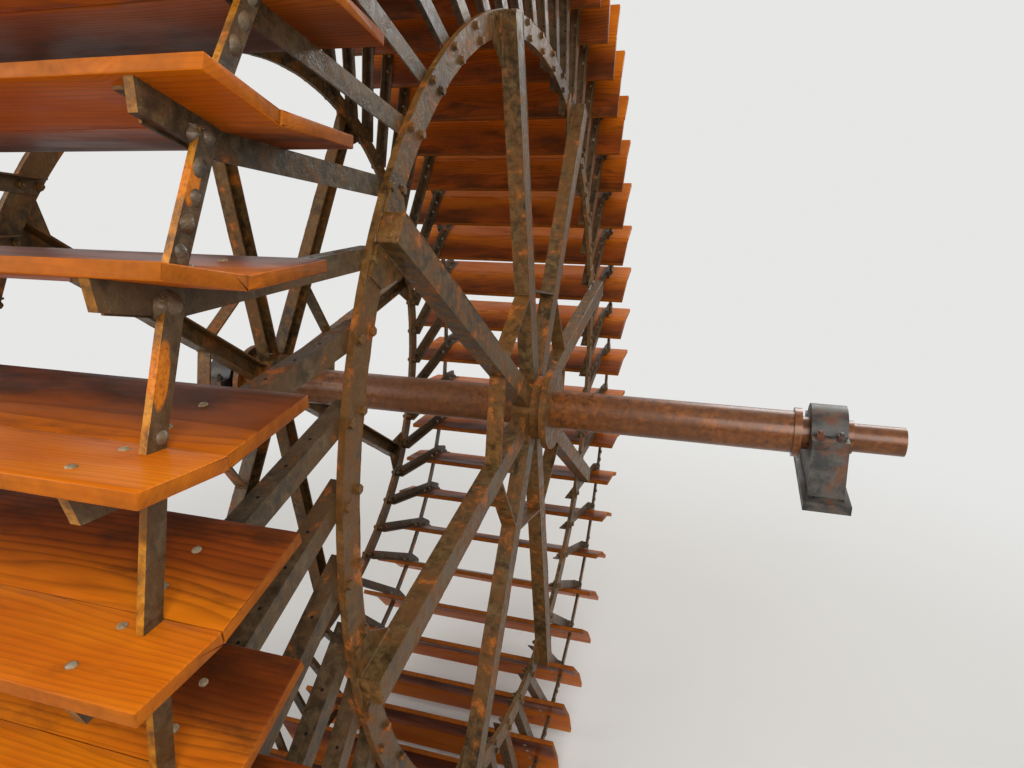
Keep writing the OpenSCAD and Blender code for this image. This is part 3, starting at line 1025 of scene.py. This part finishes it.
@dataclass
class ArmFittings:
    """What is on the angle-iron arms: rim bolts, dark plugs of painted shade in the spare holes, weld beads
    and weld lumps on the bars.
    """

    paddles: Paddles
    finish: bpy.types.Material
    bolt_finish: bpy.types.Material
    hole_shade_finish: bpy.types.Material
    leg: float = 0.055
    leg_t: float = 0.006
    rim_t: float = 0.020
    flat_t: float = 0.020
    flat_w: float = 0.051
    flat_lap: float = 0.015
    bar_w: float = 0.045
    bar_t: float = 0.016
    bar_in: float = 0.005
    bar_stop: float = 0.022
    rim_bolt_r: tuple[float, ...] = (1.607, 1.663)
    holes: tuple[float, ...] = (-0.269, -0.355, -0.469, -0.578)
    lumps: tuple[int, ...] = (1, 1, 2, 6, 4, 3)
    lump_places: tuple[float, ...] = (0.945, 0.075, 0.74, 0.50, 0.31, 0.13)
    lump_half: tuple[float, float] = (0.0125, 0.0165)
    lump_lift: tuple[float, float] = (0.0075, 0.0100)
    foot_shift: float = 0.008
    crown_least: tuple[float, float] = (0.0225, 0.0195)
    crown_most: tuple[float, float] = (0.0245, 0.0215)
    rng: np.random.Generator = field(default_factory=lambda: np.random.default_rng(96))

    def rim_bolts(self, side: Side) -> bpy.types.Object:
        """Hexagon heads on the rim's outer face, two an arm, with nuts on the arm's leg.

        Args:
            side: Side of the wheel.

        Returns:
            The piece.
        """
        paddles = self.paddles
        lean = np.radians(paddles.inner_lean)
        line = paddles.elbow_r * np.sin(lean) - paddles.thickness - self.leg / 2
        angles = paddles.angles()
        outward = np.broadcast_to([float(side.value), 0.0, 0.0], (len(angles), 3))
        head = [(0.0028, 0.0128), (0.0036, 0.0139), (0.0118, 0.0139), (0.0130, 0.0124)]
        washer = [(-0.0010, 0.0165), (0.0024, 0.0165), (0.0030, 0.0158)]
        end = [(0.0120, 0.0080), (0.0200, 0.0080), (0.0212, 0.0068)]
        shell = Shell()
        for radius in self.rim_bolt_r:
            along = np.sqrt(radius**2 - line**2)
            p = along * np.cos(lean) + line * np.sin(lean)
            q = line * np.cos(lean) - along * np.sin(lean)
            for inwards, sense in ((0.0, 1.0), (self.rim_t + self.leg_t, -1.0)):
                base = on_wheel(p, q, side.x(inwards), angles)
                turn = float(self.rng.uniform(0, 60))
                shell.add(*turned_solids(base, sense * outward, washer, ring_outline(16)))
                shell.add(*turned_solids(base, sense * outward, head, ring_outline(6, turn)))
                if sense < 0:
                    shell.add(*turned_solids(base, -outward, end, ring_outline(10)))
        made = shell.piece(f"rim_bolts_{side.word}", self.bolt_finish, 35)
        return made

    def spare_holes(self, side: Side) -> bpy.types.Object:
        """Dark plugs of painted shade in the holes drilled through the arm's shelf, four an arm, flush with
        both faces.

        Args:
            side: Side of the wheel.

        Returns:
            The piece.
        """
        shell = Shell()
        bend, along, top = self.paddles.frame(Tone.INNER, self.paddles.angles())
        for reach in self.holes:
            place = bend + reach * along - (self.paddles.thickness + 0.0064) * top
            place[:, 0] = side.x(self.paddles.bolt_inwards)
            shell.add(*turned_solids(place, top, [(0.0, 0.0046), (0.0067, 0.0046)], ring_outline(14)))
        made = shell.piece(f"spare_holes_{side.word}", self.hole_shade_finish, 35)
        return made

    def seams(self, shell: Shell, side: Side) -> None:
        """Lays one side's beads: up each bar's sides, over its upper end, on the flats and across the mitres.

        Args:
            shell: Where they go.
            side: Side of the wheel.
        """
        paddles, angles = self.paddles, self.paddles.angles()
        bend, along, top = paddles.frame(Tone.OUTER, angles)
        low = paddles.thickness + self.flat_w
        high = paddles.thickness + self.bar_stop
        leg_face, flat_face = self.rim_t, self.rim_t - self.flat_t
        bar_face = flat_face - self.bar_t
        inner, outer = self.bar_in, self.bar_in + self.bar_w
        lines = [
            ((inner, high - 0.001), (outer, high - 0.001), flat_face - 0.004, 0.0080),
            ((inner + 0.004, high + 0.001), (outer - 0.002, high), bar_face + 0.0045, 0.0056),
            ((inner, high), (inner, low), flat_face, 0.0048),
            ((outer, high - 0.003), (outer, low - 0.003), flat_face, 0.0095),
            ((outer, high - 0.001), (outer - 0.001, low - 0.004), flat_face - 0.0065, 0.0066),
            ((-self.flat_lap, paddles.thickness + 0.004), (-self.flat_lap, low), leg_face, 0.0050),
        ]
        for (reach0, depth0), (reach1, depth1), inwards, radius in lines:
            start = bend + reach0 * along - depth0 * top
            end = bend + reach1 * along - depth1 * top
            start[:, 0] = end[:, 0] = side.x(inwards)
            shell.add(*beads(start, end, radius, self.rng))
        inner_top = paddles.frame(Tone.INNER, angles)[2]
        half_turn = inner_top + top
        half_turn /= np.linalg.norm(half_turn, axis=1)[:, None]
        start, end = (bend - depth * half_turn for depth in (paddles.thickness + self.leg_t, low))
        start[:, 0] = end[:, 0] = side.x(self.rim_t + self.leg_t)
        shell.add(*beads(start, end, 0.0030, self.rng))

    def mounds(
        self, shell: Shell, side: Side, base: Array, frame: tuple[Array, Array], sizes: Array, lift: float
    ) -> None:
        """Lays smooth mounds of weld on faces that look along X.

        A mound is a bell on an oval: its outline shrinks from 1.15 to 0.04 while it rises to its full height,
        and is drawn in by 0.08 sin(2a) + 0.05 sin(3a) round the angle a.

        Args:
            shell: Where they go.
            side: Side of the wheel, which the mounds look away from.
            base: Foot of each, shape (n, 3).
            frame: The two directions of the oval, each of shape (n, 3).
            sizes: Half widths of each along the two directions, shape (n, 2).
            lift: Height.
        """
        heights = lift * np.array([-0.12, 0.08, 0.28, 0.52, 0.76, 0.93, 1.0])
        shares = np.array([1.15, 1.05, 0.93, 0.78, 0.57, 0.33, 0.04])
        path = base[:, None] + heights[None, :, None] * np.array([float(side.value), 0.0, 0.0])
        around = 14
        a = np.arange(around) * 2 * np.pi / around
        turn = self.rng.uniform(0, 2 * np.pi, (len(base), 1))
        drawn = 1 - 0.08 * np.sin(2 * a + turn) - 0.05 * np.sin(3 * a + 2 * turn)
        oval = (drawn[..., None] * ring_outline(around) * sizes[:, None])[:, None]
        outline = oval * shares[None, :, None, None]
        shell.add(*sweep(path, frame[0][:, None], frame[1][:, None], outline))

    def welds(self, side: Side) -> bpy.types.Object:
        """Makes the seams, the two mounds at each bar's upper end, and the lumps down its outer face.

        Args:
            side: Side of the wheel.

        Returns:
            The piece.
        """
        paddles, angles, rng = self.paddles, self.paddles.angles(), self.rng
        shell = Shell()
        self.seams(shell, side)
        near_bend, along, top = paddles.frame(Tone.OUTER, angles)
        bend, far_along, far_top = paddles.frame(Tone.OUTER, angles + paddles.pitch)
        depth = paddles.thickness + self.bar_stop
        middle = self.bar_in + self.bar_w / 2
        flat_face = side.x(self.rim_t - self.flat_t)
        bar_face = side.x(self.rim_t - self.flat_t - self.bar_t)
        crown = bend + (middle - 0.001) * far_along - (depth + 0.007) * far_top
        fillet = bend + (middle + self.bar_w / 2 - 0.001) * far_along - (depth + 0.014) * far_top
        crown[:, 0] = fillet[:, 0] = flat_face
        sizes = rng.uniform(self.crown_least, self.crown_most, (len(angles), 2))
        self.mounds(shell, side, crown, (far_along, far_top), sizes, self.bar_t + 0.006)
        self.mounds(shell, side, fillet, (far_along, far_top), sizes * [[0.55, 0.85]], self.bar_t + 0.001)
        low, high = near_bend + middle * along, bend + middle * far_along - depth * far_top
        counts = np.resize(self.lumps, len(angles))
        for number, place in enumerate(self.lump_places):
            bars = counts > number
            shift = rng.uniform(-0.004, 0.004, (bars.sum(), 1)) - (self.foot_shift if number == 1 else 0.0)
            share = place + rng.uniform(-0.02, 0.02, (bars.sum(), 1))
            base = low[bars] + share * (high - low)[bars] + shift * along[bars]
            base[:, 0] = bar_face
            sizes = rng.uniform(*self.lump_half, (bars.sum(), 1)) * np.array([[1.0, 1.08]])
            lift = float(rng.uniform(*self.lump_lift))
            self.mounds(shell, side, base, (along[bars], top[bars]), sizes, lift)
        made = shell.piece(f"bar_welds_{side.word}", self.finish, 50)
        return made

    def build(self) -> list[bpy.types.Object]:
        """Makes the fittings of both sides."""
        return [make(side) for side in Side for make in (self.rim_bolts, self.spare_holes, self.welds)]


@dataclass
class SpokeWelds:
    """Crusts on the spokes' outer ends and edges, and beads along the gussets and at the hub straps."""

    finish: bpy.types.Material
    spokes: int = 8
    turn: float = -10.7
    width: float = 0.090
    depth: float = 0.068
    rim_r: float = 1.680
    rim_w: float = 0.090
    end_gap: float = 0.008
    gusset_l: float = 0.110
    gusset_w: float = 0.096
    gusset_t: float = 0.008
    strap_r: float = 0.545
    barrel_r: float = 0.150
    crust_r: float = 0.0020
    proud: float = 0.0008
    rng: np.random.Generator = field(default_factory=lambda: np.random.default_rng(8))

    def end_crusts(self, shell: Shell, side: Side, angles: Array) -> None:
        """Lays a lumpy crust of weld and rust over the end of each channel.

        Its outline is the channel's with rounded corners. It shrinks from 1 at the foot to 0.05 at the top,
        and four smaller domes stand round its middle, drawn in by 0.06 sin(3a) + 0.05 sin(5a) round the
        angle a.

        Args:
            shell: Where they go.
            side: Side of the wheel.
            angles: Angles of the spokes.
        """
        half = np.array([self.width / 2 + 0.0015, self.depth / 2 + 0.0015])
        corners = half * np.array([[-1, -1], [1, -1], [1, 1], [-1, 1]])
        outline = rounded_outline(corners, np.full(4, 0.011), 4, np.full(4, 3))[0]
        a = np.arctan2(outline[:, 1], outline[:, 0])
        middle = on_wheel(self.rim_r - self.end_gap, 0.0, side.x(-self.depth / 2), angles)
        outwards, sideways = in_plane(1.0, 0.0, angles), in_plane(0.0, 1.0, angles)
        heights = -0.0070, -0.0015, 0.0012, 0.0030, 0.0042, 0.0046
        steps = list(zip(heights, (0.985, 1.0, 0.97, 0.86, 0.55, 0.05)))
        shell.add(*turned_solids(middle, outwards, steps, outline))
        domes = (0.46, 0.0066, 0.4), (0.34, 0.0072, 2.1), (0.30, 0.0062, 3.3), (0.26, 0.0070, 5.2)
        for share, lift, turn in domes:
            uneven = 1 - 0.06 * np.sin(3 * a + turn) - 0.05 * np.sin(5 * a + 2 * turn)
            drawn = outline * share * uneven[:, None]
            base = middle + 0.024 * np.cos(turn + angles[:, None] / 9) * sideways
            base[:, 0] += 0.017 * np.sin(turn + angles / 9)
            bell = [(0.0, 1.0), (0.55 * lift, 0.95), (0.80 * lift, 0.78), (0.95 * lift, 0.48), (lift, 0.05)]
            shell.add(*turned_solids(base, outwards, bell, drawn))

    def edges(self, shell: Shell, side: Side, angles: Array) -> None:
        """Lays thin crusts of rust on the edges of the spokes' webs and of the rim's outer face.

        Args:
            shell: Where they go.
            side: Side of the wheel.
            angles: Angles of the spokes.
        """
        p = np.linspace(self.strap_r + 0.06, self.rim_r - self.end_gap, 90)[None]
        web = side.x(self.proud - self.depth)
        for sign in (-1.0, 1.0):
            path = on_wheel(p, sign * (self.width / 2 - self.proud), web, angles[:, None])
            shell.add(*crusts(path, in_plane(0.0, 1.0, angles)[:, None], self.crust_r, self.rng, 0.22))
        around = np.linspace(0.0, 360.0, 961)[None]
        for radius in (self.rim_r - self.proud, self.rim_r - self.rim_w + self.proud):
            path = on_wheel(radius, 0.0, side.x(self.proud), around)
            shell.add(*crusts(path, np.array([1.0, 0.0, 0.0]), 0.95 * self.crust_r, self.rng, 0.20))

    def build(self, side: Side) -> bpy.types.Object:
        """Makes the crusts and beads of one side.

        Args:
            side: Side of the wheel.

        Returns:
            The piece.
        """
        shell = Shell()
        angles = self.turn + 360.0 / self.spokes * np.arange(self.spokes)
        self.end_crusts(shell, side, angles)
        inner, outer = self.rim_r - self.rim_w, self.rim_r - self.end_gap
        half = self.width / 2
        plate, face, web = side.x(-self.gusset_t), side.x(0.0), side.x(-self.depth)
        corner = self.strap_r / np.cos(np.pi / self.spokes) * 0.98
        barrel = self.barrel_r + 0.001
        for sign in (-1.0, 1.0):
            edge, foot = sign * half, sign * (half - 0.004)
            tip = sign * (half + self.gusset_w)
            lines = [
                ((inner - self.gusset_l + 0.004, edge, plate), (outer - 0.004, edge, plate), 0.0046),
                ((inner, sign * (half + 0.004), face), (inner, tip, face), 0.0042),
                ((inner + 0.002, tip, face), (outer - 0.010, tip, face), 0.0044),
                ((corner, edge, face), (self.strap_r * 1.061, edge, web), 0.0040),
                ((barrel, foot, face), (barrel, foot, web), 0.0046),
            ]
            for (p0, q0, x0), (p1, q1, x1), radius in lines:
                start = on_wheel(p0, q0, x0, angles)
                end = on_wheel(p1, q1, x1, angles)
                shell.add(*beads(start, end, radius, self.rng, 26))
        start = on_wheel(outer, -half, face, angles)
        end = on_wheel(outer, half, face, angles)
        shell.add(*beads(start, end, 0.0046, self.rng, 20))
        self.edges(shell, side, angles)
        made = shell.piece(f"spoke_welds_{side.word}", self.finish, 50)
        return made


@dataclass
class BearingNuts:
    """Studs, nuts and washers that hold a bearing's cap down."""

    finish: bpy.types.Material
    bolt_x: float = 0.080
    bolt_y: float = 0.330
    lug_top: float = 0.260

    def build(self, name: str, x: float) -> bpy.types.Object:
        """Makes the four studs of one bearing.

        Args:
            name: The piece's name.
            x: Middle of the bearing along the shaft.

        Returns:
            The piece.
        """
        signs = np.array([[-1, -1], [-1, 1], [1, -1], [1, 1]])
        places = x + signs[:, 0] * self.bolt_x / 2, signs[:, 1] * self.bolt_y / 2, np.full(4, self.lug_top)
        base = np.stack(places, -1)
        up = np.broadcast_to([0.0, 0.0, 1.0], (4, 3))
        shell = Shell()
        washer = [(-0.0005, 0.0200), (0.0036, 0.0200), (0.0042, 0.0194)]
        shell.add(*turned_solids(base, up, washer, ring_outline(24)))
        nut = [(0.0038, 0.0160), (0.0052, 0.0173), (0.0196, 0.0173), (0.0210, 0.0158)]
        shell.add(*turned_solids(base, up, nut, ring_outline(6, 12)))
        stud = [(0.0200, 0.0098), (0.0310, 0.0098), (0.0330, 0.0082)]
        shell.add(*turned_solids(base, up, stud, ring_outline(16)))
        made = shell.piece(name, self.finish, 35)
        return made


# Stage


@dataclass(frozen=True)
class Studio:
    """Camera at the photograph's angle, soft lamps, pale surroundings and a floor."""

    eye: Vector = Vector((-0.415, -3.144, 1.320))
    ahead: Vector = Vector((-0.2835, 0.9142, -0.2897))
    roll: float = -0.13
    lens: float = 25.53
    sensor: float = 36.0
    floor_half: float = 60.0

    def camera(self) -> None:
        """Sets up the camera."""
        data = bpy.data.cameras.new("photo_camera")
        data.lens, data.sensor_width, data.sensor_fit = self.lens, self.sensor, "HORIZONTAL"
        data.clip_start, data.clip_end = 0.02, 200.0
        made = bpy.data.objects.new("photo_camera", data)
        turn = self.ahead.to_track_quat("-Z", "Y").to_matrix().to_4x4()
        roll = Matrix.Rotation(np.radians(self.roll), 4, "Z")
        made.matrix_world = Matrix.Translation(self.eye) @ turn @ roll
        bpy.context.scene.collection.objects.link(made)
        bpy.context.scene.camera = made

    def lamp(self, name: str, place: Point, target: Point, size: float, power: float) -> None:
        """Hangs one square lamp.

        Args:
            name: Its name.
            place: Where it hangs.
            target: What it points at.
            size: Length of its side.
            power: Its power in watts.
        """
        data = bpy.data.lights.new(name, "AREA")
        data.shape, data.size, data.energy = "SQUARE", size, power
        made = bpy.data.objects.new(name, data)
        made.location = place
        made.rotation_euler = (Vector(target) - Vector(place)).to_track_quat("-Z", "Y").to_euler()
        bpy.context.scene.collection.objects.link(made)

    def surroundings(self) -> None:
        """Gives the world a pale colour: a dimmer warm white for the light it sheds, and a brighter grey that
        the camera and reflections see.
        """
        world = bpy.data.worlds.new("pale_room")
        bpy.context.scene.world = world
        world.use_nodes = True
        nodes, links = world.node_tree.nodes, world.node_tree.links
        nodes.clear()
        light = nodes.new("ShaderNodeBackground")
        light.inputs[0].default_value, light.inputs[1].default_value = (1.0, 0.98, 0.95, 1.0), 0.60
        seen = nodes.new("ShaderNodeBackground")
        seen.inputs[0].default_value, seen.inputs[1].default_value = StageFinish.seen, 1.0
        path, either = nodes.new("ShaderNodeLightPath"), nodes.new("ShaderNodeMixShader")
        out, straight = nodes.new("ShaderNodeOutputWorld"), nodes.new("ShaderNodeMath")
        straight.operation = "MAXIMUM"
        links.new(path.outputs["Is Camera Ray"], straight.inputs[0])
        links.new(path.outputs["Is Glossy Ray"], straight.inputs[1])
        links.new(straight.outputs[0], either.inputs[0])
        links.new(light.outputs[0], either.inputs[1])
        links.new(seen.outputs[0], either.inputs[2])
        links.new(either.outputs[0], out.inputs[0])

    def floor(self) -> None:
        """Lays the pale floor just under the wheel."""
        h = self.floor_half
        mesh = bpy.data.meshes.new("floor")
        corners = [(-h, -h, FLOOR_Z), (h, -h, FLOOR_Z), (h, h, FLOOR_Z), (-h, h, FLOOR_Z)]
        mesh.from_pydata(corners, [], [(0, 1, 2, 3)])
        mesh.materials.append(StageFinish().material())
        made = bpy.data.objects.new("floor", mesh)
        bpy.context.scene.collection.objects.link(made)

    def build(self) -> None:
        """Sets the whole stage."""
        self.camera()
        self.surroundings()
        self.floor()
        self.lamp("key", (1.6, -6.2, 4.2), (-1.6, 0.0, 0.6), 5.0, 450.0)
        self.lamp("fill", (-7.5, -4.5, 3.0), (-2.0, 0.0, 0.0), 5.0, 270.0)
        self.lamp("back", (1.0, 7.0, 5.0), (-2.0, 0.0, 0.0), 4.0, 320.0)
        bpy.context.scene.view_settings.view_transform = "Standard"


def dress(frame: dict[str, Any], material: bpy.types.Material, *names: str) -> None:
    """Gives CAD nodes a finish.

    Args:
        material: The finish.
        names: Nodes' names.
    """
    for name in names:
        slots = frame["nodes"][name].data.materials
        slots.clear()
        slots.append(material)
        log.info("finished %s with %s", name, material.name)


def both(*stems: str) -> list[str]:
    """Node names of both sides of the wheel."""
    return [f"{stem}_{side.word}" for stem in stems for side in Side]


def main() -> None:
    """Builds the stage and the wheel's pieces."""
    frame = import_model()
    Studio().build()

    # Each steel paints a share of its outward faces ochre: partly rust, partly painted light.
    frame_steel = WeatheredSteel("frame_steel").material()
    brown = paint(50, 38, 22), paint(92, 68, 38)
    hub_steel = WeatheredSteel("hub_steel", *brown, rusted=0.50, spray=0.2).material()
    grey = paint(52, 42, 29), paint(98, 79, 55), paint(84, 58, 33), paint(160, 82, 22)
    arm_steel = WeatheredSteel("arm_steel", *grey, rusted=0.46, spray=0.70).material()
    # Bars: a wetter shine, and the whole painted ochre glow on their outward faces.
    wet = {"rusted": 0.42, "spray": 1.0, "shine": 0.28}
    bar_steel = WeatheredSteel("bar_steel", *grey, **wet, patches=True).material()
    weld_grey = paint(62, 54, 45), paint(112, 100, 84), paint(100, 78, 52), paint(176, 92, 20)
    weld_steel = WeatheredSteel("weld_steel", *weld_grey, rusted=0.36, spray=0.10, shine=0.20).material()
    # Board bolts: pale grey, partly bright bare metal and partly a painted glint on the heads.
    bolt_grey_and_glint = paint(96, 88, 72), paint(178, 166, 140), paint(122, 94, 56), paint(160, 92, 34)
    bolt_steel = WeatheredSteel("bolt_steel", *bolt_grey_and_glint, rusted=0.40, spray=0.10, shine=0.24).material()
    shaft_rust = RustyShaft().material()
    iron = CastIron().material()
    dress(frame, frame_steel, *both("rim", "spokes", "gussets", "hub_straps"))
    dress(frame, arm_steel, *both("arms"))
    dress(frame, bar_steel, *both("elbow_bars"))
    dress(frame, hub_steel, *both("hub"))
    dress(frame, shaft_rust, "shaft", "thrust_collar")
    dress(frame, iron, *[f"{end}_bearing_{half}" for end in ("wall", "outer") for half in ("base", "cap")])

    paddles = Paddles(VarnishedBoard().material(), bolt_steel)
    turning = paddles.build()
    turning += ArmFittings(paddles, weld_steel, frame_steel, PaintedHoleShade().material()).build()
    turning += [SpokeWelds(frame_steel).build(side) for side in Side]
    nuts = BearingNuts(iron)
    standing = [nuts.build("cap_nuts_wall", 0.0), nuts.build("cap_nuts_outer", OUTER_BEARING_X)]
    for body, pieces in (("wheel", turning), ("bearings", standing)):
        for piece in pieces:
            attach(piece, body)
            log.info("made %s, %d faces, on %s", piece.name, len(piece.data.polygons), body)


if __name__ == "__main__":
    logging.basicConfig(level=logging.INFO, format="%(name)s: %(message)s")
    main()
